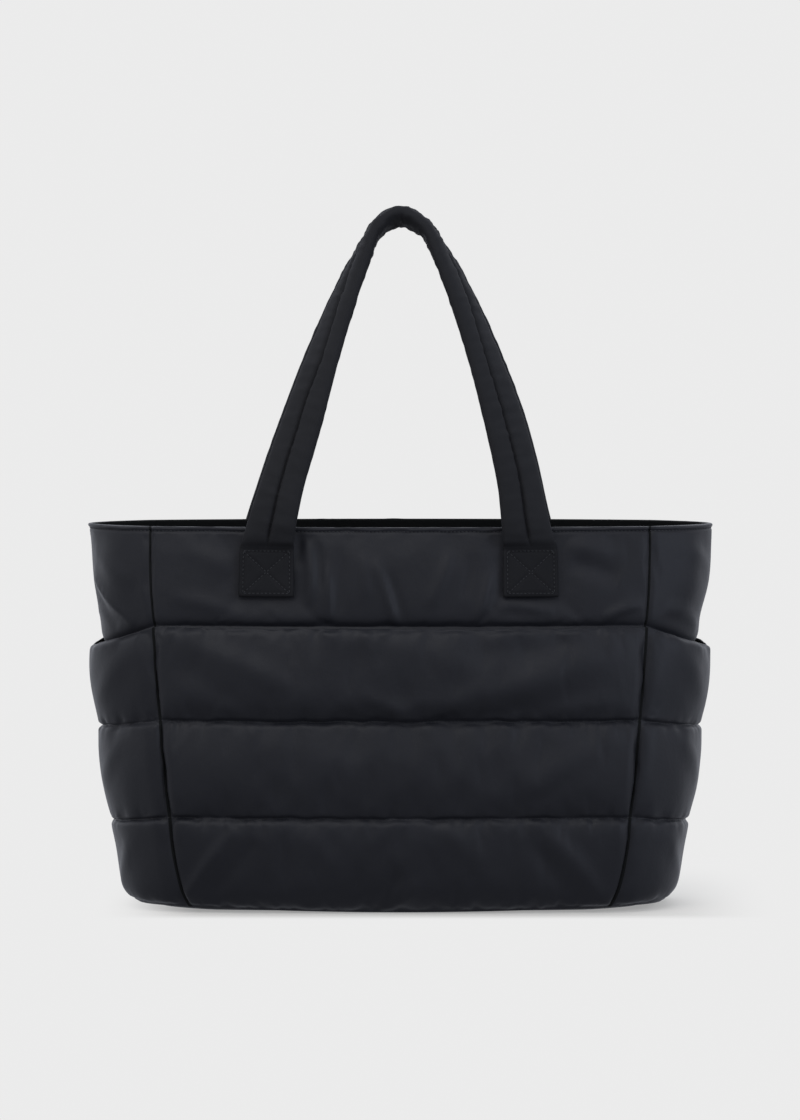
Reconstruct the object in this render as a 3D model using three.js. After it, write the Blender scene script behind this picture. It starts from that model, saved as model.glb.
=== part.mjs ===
// A quilted tote bag that stands on its base: padded nylon walls, a three-row quilted slip pocket on the
// front, a quilted bottle pocket on each side, a quilted back and two padded shoulder handles.
// Millimetres. +Z is up, the front faces -Y, and the origin is on the floor under the middle of the bag.
import * as THREE from "three";

// Driving dimensions
const WALL = 4; // a body wall: shell, wadding and lining
const SEAM_GAP = 0.4; // clearance kept between two sewn pieces
const FLOOR_LIFT = 0.5; // the walls stop this far above the floor, and the base panel carries the bag
const BASE_THICKNESS = 4.5;
const QUILT_SEAM = 3; // a quilted layer at its stitching
const FRONT_PUFF = 11; // the same layer in the middle of a front row
const SIDE_PUFF = 8.5; // and in the middle of a side row
const BACK_PUFF = 11.75; // and of a back row, which brings the back as far out as the front
const FRONT_MOUTH_GAP = 8; // how far the front pocket's top edge stands off the front panel
const SIDE_MOUTH_GAP = 7; // and a side pocket's off its side panel

// The outside of the body walls at each height: where the sides, the corner seams and the middle of the front
// lie, and how square the side is in plan. The rim is the last row.
const BODY_LEVELS = [
  { height: 0.5, halfWidth: 201, seamX: 159, seamY: 56, frontY: 61, squareness: 4 },
  { height: 8, halfWidth: 209, seamX: 163.5, seamY: 60, frontY: 66, squareness: 3.8 },
  { height: 22, halfWidth: 214.5, seamX: 169, seamY: 63.5, frontY: 71, squareness: 3.4 },
  { height: 48, halfWidth: 217.5, seamX: 174.5, seamY: 66, frontY: 74.5, squareness: 3 },
  { height: 75, halfWidth: 223, seamX: 177.5, seamY: 66, frontY: 75.5, squareness: 2.7 },
  { height: 150, halfWidth: 231.5, seamX: 185, seamY: 62, frontY: 73, squareness: 2.4 },
  { height: 222, halfWidth: 233, seamX: 190.5, seamY: 56, frontY: 69, squareness: 2.2 },
  { height: 259, halfWidth: 241, seamX: 192.5, seamY: 51, frontY: 66, squareness: 2.1 },
  { height: 299.5, halfWidth: 244.5, seamX: 194, seamY: 46, frontY: 62, squareness: 2 },
];
const RIM = BODY_LEVELS.at(-1).height;

// The stitched lines that bound the quilted rows, from the base up, and how far each dips in the middle of a
// side.
const QUILT_LINES = [
  { height: 0.6, sideDip: 0 },
  { height: 75, sideDip: 7.5 },
  { height: 150, sideDip: 8.5 },
  { height: 222, sideDip: 17.5 },
];
// The plain band above them, up to the rim.
const BAND_LINES = [
  { height: 226, sideDip: 16.5 },
  { height: 259, sideDip: 9 },
  { height: RIM, sideDip: 0 },
];

// A handle's two legs from their sewn tabs up to the peak: height, distance of the left and right leg from
// the middle, depth in front of the middle, how far the face has turned outwards (degrees), and the strap's
// width and thickness there. The first rows are the tabs, which lie on the panel.
const HANDLE_ROWS = [
  { height: 246, left: 103.2, right: 101, depth: 0, turn: 0, width: 43, thickness: 5 },
  { height: 283.5, left: 102.8, right: 100.5, depth: 0, turn: 0, width: 42, thickness: 5 },
  { height: 291, left: 101.5, right: 99, depth: 66, turn: 3, width: 39.5, thickness: 7.5 },
  { height: 304, left: 98.4, right: 96.6, depth: 67.5, turn: 10, width: 38, thickness: 10.5 },
  { height: 334, left: 90.4, right: 91.8, depth: 63.5, turn: 23, width: 36.5, thickness: 13 },
  { height: 380, left: 75.8, right: 80.8, depth: 55, turn: 36, width: 37.5, thickness: 13 },
  { height: 426, left: 61.2, right: 66.6, depth: 46, turn: 52, width: 38, thickness: 13 },
  { height: 472, left: 44.5, right: 49.4, depth: 37, turn: 66, width: 38, thickness: 13 },
  { height: 507.5, left: 30.6, right: 34, depth: 28, turn: 84, width: 37, thickness: 12.5 },
  { height: 530, left: 18, right: 20.2, depth: 22, turn: 95, width: 36, thickness: 12 },
  { height: 540, left: 0, right: 0, depth: 19, turn: 100, width: 36, thickness: 12 },
];
const TAB_ROWS = 2;
const BACK_HANDLE_SPREAD = 1.035; // the back handle's legs stand this much wider than the front one's
// The strap's section: two padded halves with a stitched groove between them.
const STRAP_SECTION = [
  { across: -1, fullness: 0.35 },
  { across: -0.8, fullness: 0.8 },
  { across: -0.4, fullness: 1 },
  { across: 0, fullness: 0.72 },
  { across: 0.4, fullness: 1 },
  { across: 0.8, fullness: 0.8 },
  { across: 1, fullness: 0.35 },
];

// How finely the faceted walls are divided
const FRONT_STEPS = 12;
const SIDE_STEPS = 9;
const STEPS_PER_ROW = 6;
const STEPS_PER_HANDLE_ROW = 2;
const EDGE_SQUARENESS = 10; // how late a quilted row falls away to its end seam
const MITRE_SHARPNESS = 8; // how near a corner seam a wall turns to meet its neighbour

// The body's sizes at a height, between the rows of the table.
function levelAt(height) {
  const above = Math.max(1, BODY_LEVELS.findIndex((row) => row.height >= height));
  const [low, high] = [BODY_LEVELS[above - 1], BODY_LEVELS[above]];
  const share = (height - low.height) / (high.height - low.height);
  const level = {};
  for (const key of Object.keys(low)) level[key] = THREE.MathUtils.lerp(low[key], high[key], share);
  return level;
}

// The front wall's plan: across runs from -1 at the left seam to 1 at the right one.
function frontPlan(level, across) {
  const bow = level.frontY - level.seamY;
  return {
    point: new THREE.Vector2(level.seamX * across, -level.seamY - bow * (1 - across ** 2)),
    normal: new THREE.Vector2(2 * across * bow, -level.seamX).normalize(),
  };
}

// The right side's plan: across runs from -1 at the front seam to 1 at the back one.
function sidePlan(level, across) {
  const reach = level.halfWidth - level.seamX;
  const k = level.squareness;
  const slope = reach * k * Math.abs(across) ** (k - 1) * Math.sign(across);
  return {
    point: new THREE.Vector2(level.seamX + reach * (1 - Math.abs(across) ** k), level.seamY * across),
    normal: new THREE.Vector2(level.seamY, slope).normalize(),
  };
}

// A point at a distance outside the front or right side. Towards a corner seam the direction turns to the
// mitre that the two walls share, so that they meet edge to edge at any thickness.
function skin(plan, height, across, outwards) {
  const level = levelAt(height);
  const span = plan === frontPlan ? level.seamX : level.seamY;
  const trimmed = across * (1 - SEAM_GAP / 2 / span);
  const { point, normal } = plan(level, trimmed);
  const end = Math.sign(across) || 1;
  const front = frontPlan(level, plan === frontPlan ? end : 1).normal;
  const side = sidePlan(level, plan === frontPlan ? -1 : end).normal;
  if (plan === frontPlan) side.x *= end;
  else front.y *= -end;
  const mitre = front.add(side).normalize();
  const direction = normal.lerp(mitre, Math.abs(across) ** MITRE_SHARPNESS).normalize();
  return new THREE.Vector3(point.x, point.y, height).addScaledVector(
    new THREE.Vector3(direction.x, direction.y, 0),
    outwards,
  );
}

// Values from -1 to 1, closer together towards the ends.
function acrossSteps(count) {
  return Array.from({ length: count + 1 }, (_, j) => Math.sin(Math.PI * (j / count - 0.5)));
}

// The quilting's rows as {row, share, height, sideDip}: share runs from 0 to 1 up each row, with more steps
// near the stitching.
function quiltSteps() {
  const steps = [];
  for (let row = 0; row + 1 < QUILT_LINES.length; row++) {
    const [low, high] = [QUILT_LINES[row], QUILT_LINES[row + 1]];
    for (let i = row ? 1 : 0; i <= STEPS_PER_ROW; i++) {
      const share = (1 - Math.cos((Math.PI * i) / STEPS_PER_ROW)) / 2;
      const height = THREE.MathUtils.lerp(low.height, high.height, share);
      const sideDip = THREE.MathUtils.lerp(low.sideDip, high.sideDip, share);
      steps.push({ row, share, height, sideDip });
    }
  }
  return steps;
}

// A grid of points over the front or right side, at the distances that outwards gives for each place.
function skinGrid(plan, steps, outwards) {
  const columns = acrossSteps(plan === frontPlan ? FRONT_STEPS : SIDE_STEPS);
  return steps.map((step) =>
    columns.map((a) => {
      const dip = plan === frontPlan ? 0 : step.sideDip * (1 - a ** 2);
      return skin(plan, step.height - dip, a, outwards(step, a));
    }),
  );
}

// How thick the quilting is at a step, across a wall.
function quiltThickness(step, across, puff) {
  const roundness = Math.sqrt(Math.max(0, 1 - (2 * step.share - 1) ** 2));
  const ends = Math.sqrt(Math.max(0, 1 - Math.abs(across) ** EDGE_SQUARENESS));
  return QUILT_SEAM + (puff - QUILT_SEAM) * roundness * ends;
}

// How far a pocket stands off its wall: closed up to the upper stitched line, and open above it.
function mouthGap(step, across, gap) {
  const openFrom = QUILT_LINES.length - 2;
  const opened = step.row < openFrom ? 0 : step.share;
  return SEAM_GAP + gap * opened * (1 - across ** 4);
}

// A closed wall between two grids of points, outer[i][j] and inner[i][j].
function slab(outer, inner) {
  const rows = outer.length;
  const columns = outer[0].length;
  const positions = [...outer.flat(), ...inner.flat()].flatMap((p) => p.toArray());
  const at = (layer, i, j) => layer * rows * columns + i * columns + j;
  const triangles = [];
  const quad = (a, b, c, d) => triangles.push(a, b, c, a, c, d);
  for (let i = 0; i + 1 < rows; i++) {
    for (let j = 0; j + 1 < columns; j++) {
      quad(at(0, i, j), at(0, i, j + 1), at(0, i + 1, j + 1), at(0, i + 1, j));
      quad(at(1, i, j), at(1, i + 1, j), at(1, i + 1, j + 1), at(1, i, j + 1));
    }
    quad(at(0, i, 0), at(0, i + 1, 0), at(1, i + 1, 0), at(1, i, 0));
    quad(at(0, i, columns - 1), at(1, i, columns - 1), at(1, i + 1, columns - 1), at(0, i + 1, columns - 1));
  }
  for (let j = 0; j + 1 < columns; j++) {
    quad(at(0, 0, j), at(1, 0, j), at(1, 0, j + 1), at(0, 0, j + 1));
    quad(at(0, rows - 1, j), at(0, rows - 1, j + 1), at(1, rows - 1, j + 1), at(1, rows - 1, j));
  }
  const geometry = new THREE.BufferGeometry();
  geometry.setAttribute("position", new THREE.Float32BufferAttribute(positions, 3));
  geometry.setIndex(triangles);
  geometry.computeVertexNormals();
  return geometry;
}

// A plain body wall from the base to the rim.
function bodyWall(plan) {
  const steps = [...quiltSteps(), ...BAND_LINES];
  return slab(skinGrid(plan, steps, () => 0), skinGrid(plan, steps, () => -WALL));
}

// The back: one wall, quilted up to the pockets' height and plain above.
function quiltedWall() {
  const quilt = (step, a) => SEAM_GAP + quiltThickness(step, a, BACK_PUFF);
  const outer = [...skinGrid(frontPlan, quiltSteps(), quilt), ...skinGrid(frontPlan, BAND_LINES, () => 0)];
  const inner = skinGrid(frontPlan, [...quiltSteps(), ...BAND_LINES], () => -WALL);
  return slab(outer, inner);
}

// A quilted pocket on the front or right side. On a side its stitched lines and top edge dip in the middle.
function quiltedPocket(plan, puff, gap) {
  const inside = (step, a) => mouthGap(step, a, gap);
  const outside = (step, a) => mouthGap(step, a, gap) + quiltThickness(step, a, puff);
  return slab(skinGrid(plan, quiltSteps(), outside), skinGrid(plan, quiltSteps(), inside));
}

// The base: a flat panel that fills the foot of the walls.
function basePanel() {
  const foot = [{ height: FLOOR_LIFT, sideDip: 0 }];
  const inset = () => -WALL - SEAM_GAP;
  const edges = [frontPlan, sidePlan].flatMap((plan) => skinGrid(plan, foot, inset)[0].slice(0, -1));
  const half = edges.map((p) => new THREE.Vector2(p.x, p.y));
  const whole = [...half, ...half.map((p) => p.clone().negate())];
  return new THREE.ExtrudeGeometry(new THREE.Shape(whole), { depth: BASE_THICKNESS, bevelEnabled: false });
}

// A handle from tab to tab: a padded strap that turns edge on as it rises to its peak. The two legs take
// their distances from the named columns of the table.
function handle(startLeg, endLeg, spread) {
  const stop = (row, i, x) => {
    const level = levelAt(Math.min(row.height, RIM));
    const { point, normal } = frontPlan(level, x / level.seamX);
    const depth = i < TAB_ROWS ? SEAM_GAP + row.thickness / 2 - point.y : row.depth;
    return {
      place: new THREE.Vector3(x, -depth, row.height),
      facing: new THREE.Vector3(normal.x, normal.y, 0),
      form: new THREE.Vector3(row.turn, row.width, row.thickness),
    };
  };
  const up = HANDLE_ROWS.map((row, i) => stop(row, i, -row[startLeg] * spread));
  const down = HANDLE_ROWS.slice(0, -1).map((row, i) => stop(row, i, row[endLeg] * spread));
  const rows = [...up, ...down.reverse()];
  const route = new THREE.CatmullRomCurve3(rows.map((row) => row.place));
  const facing = new THREE.CatmullRomCurve3(rows.map((row) => row.facing));
  const form = new THREE.CatmullRomCurve3(rows.map((row) => row.form));
  const count = (rows.length - 1) * STEPS_PER_HANDLE_ROW;
  const inTab = (i) => i > 0 && i < STEPS_PER_HANDLE_ROW; // a tab is straight from its end to its top
  const stops = [...Array(count + 1).keys()].filter((i) => !inTab(i) && !inTab(count - i));
  const grid = (side) =>
    stops.map((i) => {
      const t = i / count;
      const centre = route.getPoint(t);
      const along = route.getTangent(t);
      const [turn, width, thickness] = form.getPoint(t).toArray();
      const flat = facing.getPoint(t);
      const normal = flat.addScaledVector(along, -flat.dot(along)).normalize();
      normal.applyAxisAngle(along, -THREE.MathUtils.degToRad(turn));
      const across = along.clone().cross(normal);
      return STRAP_SECTION.map((at) =>
        centre
          .clone()
          .addScaledVector(across, (at.across * width) / 2)
          .addScaledVector(normal, (side * at.fullness * thickness) / 2),
      );
    });
  return slab(grid(1), grid(-1));
}

// Finishes
const shellNylon = new THREE.MeshStandardMaterial({ color: 0x1b1c20, roughness: 0.5, metalness: 0 });
const strapNylon = new THREE.MeshStandardMaterial({ color: 0x191a1d, roughness: 0.55, metalness: 0 });
const baseNylon = new THREE.MeshStandardMaterial({ color: 0x17181b, roughness: 0.65, metalness: 0 });

// The bag is the same after half a turn, so a back or left piece is its front or right twin turned round.
function place(name, geometry, material, turned) {
  const mesh = new THREE.Mesh(geometry, material.clone());
  mesh.name = name;
  mesh.rotation.z = turned ? Math.PI : 0;
  return mesh;
}

const tote = new THREE.Group();
tote.add(
  place("base_panel", basePanel(), baseNylon),
  place("front_panel", bodyWall(frontPlan), shellNylon),
  place("back_panel", quiltedWall(), shellNylon, true),
  place("front_pocket", quiltedPocket(frontPlan, FRONT_PUFF, FRONT_MOUTH_GAP), shellNylon),
);
for (const [side, turned] of [["right", false], ["left", true]]) {
  tote.add(
    place(`side_panel_${side}`, bodyWall(sidePlan), shellNylon, turned),
    place(`side_pocket_${side}`, quiltedPocket(sidePlan, SIDE_PUFF, SIDE_MOUTH_GAP), shellNylon, turned),
  );
}
tote.add(
  place("handle_front", handle("left", "right", 1), strapNylon),
  place("handle_back", handle("right", "left", BACK_HANDLE_SPREAD), strapNylon, true),
);

export default tote;
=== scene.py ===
# %% [markdown]
# # A quilted nylon tote
# The bag stands on its base with its handles up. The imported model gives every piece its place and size,
# and this lesson gives each one its cloth: padded pockets that are blown up by a cloth simulation, soft
# walls with their wrinkles, padded straps, thread, and one nylon recipe that makes six finishes.

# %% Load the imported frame
import math
import bmesh
import bpy
import numpy as np
from mathutils import Matrix, Vector, noise


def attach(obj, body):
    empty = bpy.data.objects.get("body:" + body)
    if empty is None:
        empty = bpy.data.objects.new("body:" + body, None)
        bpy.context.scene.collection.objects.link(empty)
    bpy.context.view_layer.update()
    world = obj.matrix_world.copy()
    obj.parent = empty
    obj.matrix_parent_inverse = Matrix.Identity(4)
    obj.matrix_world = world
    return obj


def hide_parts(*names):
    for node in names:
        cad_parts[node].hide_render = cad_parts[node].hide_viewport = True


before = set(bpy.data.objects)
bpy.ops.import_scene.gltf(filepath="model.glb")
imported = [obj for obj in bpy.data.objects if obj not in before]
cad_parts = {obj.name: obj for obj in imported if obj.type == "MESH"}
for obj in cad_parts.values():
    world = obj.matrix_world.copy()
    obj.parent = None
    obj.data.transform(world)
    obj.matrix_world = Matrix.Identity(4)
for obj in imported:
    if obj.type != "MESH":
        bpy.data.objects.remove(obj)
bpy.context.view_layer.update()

scene = bpy.context.scene
MM = 0.001

# %% [markdown]
# ## The camera
# The photograph looks almost straight at the front from a little above: the rim shows a thin sliver of
# the inside, and the base shows more floor than the rim does. A long lens four metres away, tilted down a
# little, gives both.

# %% Camera
CAMERA_DISTANCE = 4.0
CAMERA_HEIGHT = 0.5327
CAMERA_TILT = 3.752
CAMERA_LENS = 164.3

camera_data = bpy.data.cameras.new("camera")
camera_data.lens = CAMERA_LENS
camera = bpy.data.objects.new("camera", camera_data)
camera.location = (0, -CAMERA_DISTANCE, CAMERA_HEIGHT)
camera.rotation_euler = (math.radians(90 - CAMERA_TILT), 0, 0)
scene.collection.objects.link(camera)
scene.camera = camera
print("camera at", tuple(camera.location))

# %% [markdown]
# ## Shader maths as expressions
# Node graphs are easier to read as formulas. Value wraps one socket and turns + - and * into Math nodes.
# Finish holds the nodes of one material or world, makes every other node by its type, and feeds inputs
# with numbers or with other nodes.

# %% Value and Finish
class Value:
    """A socket that can be used in arithmetic."""

    def __init__(self, finish, socket):
        self.finish = finish
        self.socket = socket

    def __add__(self, other):
        return self.finish.maths("ADD", self, other)

    def __sub__(self, other):
        return self.finish.maths("SUBTRACT", self, other)

    def __mul__(self, other):
        return self.finish.maths("MULTIPLY", self, other)

    __radd__ = __add__


class Finish:
    """The nodes of a material or a world; node adds one from its type, settings and inputs."""

    def __init__(self, owner, shader="Principled BSDF"):
        owner.use_nodes = True
        self.owner = owner
        self.tree = owner.node_tree
        self.shader = self.tree.nodes[shader]

    def node(self, kind, settings=None, inputs=None, output=0):
        made = self.tree.nodes.new(kind)
        for key, value in (settings or {}).items():
            setattr(made, key, value)
        self.feed(made, inputs or {})
        return Value(self, made.outputs[output])

    def feed(self, node, inputs):
        """Links a node's inputs to other nodes or gives them their values."""
        for key, value in inputs.items():
            if isinstance(value, Value):
                self.tree.links.new(value.socket, node.inputs[key])
            else:
                node.inputs[key].default_value = value

    def ramp(self, value, low, high, first=0.0, last=1.0):
        """A smooth rise or fall from the first to the last value between two stops."""
        return self.node("ShaderNodeMapRange", {"interpolation_type": "SMOOTHSTEP"},
                         {0: value, 1: low, 2: high, 3: first, 4: last})

    def parts(self, vector):
        """The three numbers of a vector."""
        split = self.node("ShaderNodeSeparateXYZ", None, {0: vector})
        return [Value(self, split.socket.node.outputs[k]) for k in range(3)]

    def maths(self, operation, *values):
        return self.node("ShaderNodeMath", {"operation": operation}, dict(enumerate(values)))

    def blend(self, share, low, high):
        """A colour between two; inputs 6 and 7 are the node's colours."""
        return self.node("ShaderNodeMix", {"data_type": "RGBA"}, {0: share, 6: low, 7: high}, output=2)


# %% [markdown]
# ## Black nylon
# The shell is a tightly woven nylon: nearly black with a trace of blue, a soft satin sheen, faint
# crinkles a few millimetres long, and threads that show only close up. The colour and roughness drift
# slowly, as on handled cloth. The weave follows the cloth's own UV map, which is in metres, so it bends
# with each piece. The same recipe makes the straps, their darker pressed tabs, the base, the lining and
# the thread.

# %% Nylon finishes
THREAD_PITCH, WEAVE_DEPTH = 0.0006, 0.00002  # metres
DRIFT_SCALE, CRINKLE_SCALE = 22.0, 170.0  # patches to the metre
DARKEST, LIGHTEST = 0.82, 1.22  # shares of the mean colour


def nylon(name, colour, roughness, gloss, sheen, crinkle):
    """A woven nylon: slow drifts of tone, short crinkles and a fine plain weave."""
    cloth = Finish(bpy.data.materials.new(name))
    place = cloth.node("ShaderNodeTexCoord", output=3)
    threads = cloth.node("ShaderNodeUVMap", {"uv_map": "cloth"})
    drift = cloth.node("ShaderNodeTexNoise", None, {"Vector": place, "Scale": DRIFT_SCALE, "Detail": 3.0})
    crinkles = {"Vector": place, "Scale": CRINKLE_SCALE, "Detail": 4.0, "Roughness": 0.55}
    fine = cloth.node("ShaderNodeTexNoise", None, crinkles)
    across, along, _ = cloth.parts(threads)
    turns = 2 * math.pi / THREAD_PITCH
    weave = cloth.maths("SINE", across * turns) * cloth.maths("SINE", along * turns) * 0.5 + 0.5
    tone = drift * 0.7 + fine * 0.3
    dark = [c * DARKEST for c in colour] + [1.0]
    light = [c * LIGHTEST for c in colour] + [1.0]
    height = fine * crinkle + weave * WEAVE_DEPTH
    cloth.feed(cloth.shader, {
        "Base Color": cloth.blend(tone, dark, light),
        "Roughness": roughness + (drift - 0.5) * 0.16 + (fine - 0.5) * 0.08,
        "Normal": cloth.node("ShaderNodeBump", None, {"Strength": 0.6, "Distance": 1.0, "Height": height}),
        "Specular IOR Level": gloss,
        "Sheen Weight": sheen, "Sheen Roughness": 0.45, "Sheen Tint": (0.9, 0.93, 1.0, 1.0)})
    return cloth.owner


# name, colour, roughness, gloss, sheen and the depth of the crinkles in metres
SHELL = nylon("shell_nylon", (0.0150, 0.0156, 0.0200), 0.50, 0.30, 0.03, 0.00030)
STRAP = nylon("strap_nylon", (0.0275, 0.0279, 0.0305), 0.66, 0.03, 0.00, 0.00030)
TAB = nylon("tab_nylon", (0.0205, 0.0208, 0.0228), 0.66, 0.03, 0.00, 0.00030)
BASE = nylon("base_nylon", (0.0080, 0.0084, 0.0105), 0.62, 0.34, 0.03, 0.00020)
# the lining's dark colour is also laid, as painted shade, on the pads' ends beside the corner seams and
# along their foot
LINING_AND_SHADE = nylon("lining_and_shade_nylon", (0.0068, 0.0074, 0.0075), 0.60, 0.12, 0.00, 0.00030)
THREAD = nylon("sewing_thread", (0.0310, 0.0320, 0.0360), 0.60, 0.40, 0.05, 0.00010)
print("finishes", [m.name for m in (SHELL, STRAP, TAB, BASE, LINING_AND_SHADE, THREAD)])

# %% [markdown]
# ## The form under the cloth
# Every wall of the bag lies on one surface. At each height a row of the table says where the side, the
# corner seam and the middle of the front are, and how square the side is in plan. A smooth curve that
# never overshoots runs through the rows. The back and the left are the front and the right after half a
# turn.

# %% The body's surface
LEVEL_COLUMNS = ("height", "half_width", "seam_x", "seam_y", "front_y", "squareness")
LEVEL_ROWS = np.array([
    (0.5, 201, 159, 56, 61, 4),
    (8, 209, 163.5, 60, 66, 3.8),
    (22, 214.5, 169, 63.5, 71, 3.4),
    (48, 217.5, 174.5, 66, 74.5, 3),
    (75, 223, 177.5, 66, 75.5, 2.7),
    (150, 231.5, 185, 62, 73, 2.4),
    (222, 233, 190.5, 56, 69, 2.2),
    (259, 241, 192.5, 51, 66, 2.1),
    (299.5, 244.5, 194, 46, 62, 2),
])
RIM = LEVEL_ROWS[-1, 0]
SEAM_GAP = 0.4  # between a pocket and its wall
CORNER_GAP = 0.03  # between two walls at their corner
MITRE_SHARPNESS = 8


def unit(vectors):
    return vectors / np.linalg.norm(vectors, axis=-1, keepdims=True)


def eased(stops, values, at):
    """A smooth curve through the values at the stops that never overshoots them."""
    stops, values = np.asarray(stops, float), np.asarray(values, float)
    steps = np.diff(stops)
    rises = np.diff(values) / steps
    slopes = np.zeros_like(values)
    same_way = rises[:-1] * rises[1:] > 0
    total = np.where(same_way, rises[:-1] + rises[1:], 1)
    slopes[1:-1] = np.where(same_way, 2 * rises[:-1] * rises[1:] / total, 0)
    slopes[0], slopes[-1] = rises[0], rises[-1]
    i = np.clip(np.searchsorted(stops, at) - 1, 0, len(steps) - 1)
    t = np.clip((at - stops[i]) / steps[i], 0, 1)
    return (values[i] * (1 + 2 * t) * (1 - t) ** 2 + slopes[i] * steps[i] * t * (1 - t) ** 2
            + values[i + 1] * t ** 2 * (3 - 2 * t) + slopes[i + 1] * steps[i] * t ** 2 * (t - 1))


def level(height):
    """The body's sizes at each height, by column name."""
    return {name: eased(LEVEL_ROWS[:, 0], LEVEL_ROWS[:, k], height) for k, name in enumerate(LEVEL_COLUMNS)}


def front_plan(sizes, across):
    bow = sizes["front_y"] - sizes["seam_y"]
    point = np.stack([sizes["seam_x"] * across, -sizes["seam_y"] - bow * (1 - across ** 2)], -1)
    normal = np.stack([2 * across * bow, -sizes["seam_x"]], -1)
    return point, unit(normal)


def side_plan(sizes, across):
    reach = sizes["half_width"] - sizes["seam_x"]
    k = sizes["squareness"]
    size = np.abs(across)
    point = np.stack([sizes["seam_x"] + reach * (1 - size ** k), sizes["seam_y"] * across], -1)
    normal = np.stack([sizes["seam_y"], reach * k * size ** (k - 1) * np.sign(across)], -1)
    return point, unit(normal)


def skin(wall, height, across, outwards):
    """Points in metres at a distance (mm) outside a wall; across is -1 to 1, anticlockwise from above."""
    given = [np.asarray(value, float) for value in (height, across, outwards)]
    height, across, outwards = np.broadcast_arrays(*given)
    sizes = level(height)
    is_front = wall in ("front", "back")
    plan = front_plan if is_front else side_plan
    span = sizes["seam_x"] if is_front else sizes["seam_y"]
    point, normal = plan(sizes, across * (1 - CORNER_GAP / 2 / span))
    end = np.where(across < 0, -1.0, 1.0)
    ends = np.ones_like(across)
    front = front_plan(sizes, end if is_front else ends)[1]
    side = side_plan(sizes, -ends if is_front else end)[1]
    if is_front:
        side = side * np.stack([end, ends], -1)
    else:
        front = front * np.stack([ends, -end], -1)
    mitre = unit(front + side)
    share = (np.abs(across) ** MITRE_SHARPNESS)[..., None]
    direction = unit(normal * (1 - share) + mitre * share)
    flat = point + direction * outwards[..., None]
    half_turn = -1.0 if wall in ("back", "left") else 1.0
    return np.concatenate([flat * half_turn, height[..., None]], -1) * MM


print("rim half width", skin("right", RIM, 0, 0))

# %% [markdown]
# ## A padded panel
# Each wall and pocket is a pad: an outer sheet, an inner sheet and an edge between them. The outer sheet
# starts as a flat grid of small squares that is laid over the form, with rows that fall exactly on the
# sewn lines and lie closer together near them. Once it has its shape, a copy of it is laid on the inside
# with its faces turned, and a bridge closes the edge.

# %% Panels
THINNEST = 0.5  # a pad is never thinner than this
COLUMN_CROWD, ROW_CROWD = 0.65, 0.72  # how much closer the grid's lines lie at corners and sewn lines


def crowd(t, share):
    """Moves even steps from 0 to 1 closer together at both ends."""
    return t - share * np.sin(2 * np.pi * t) / (2 * np.pi)


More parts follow.
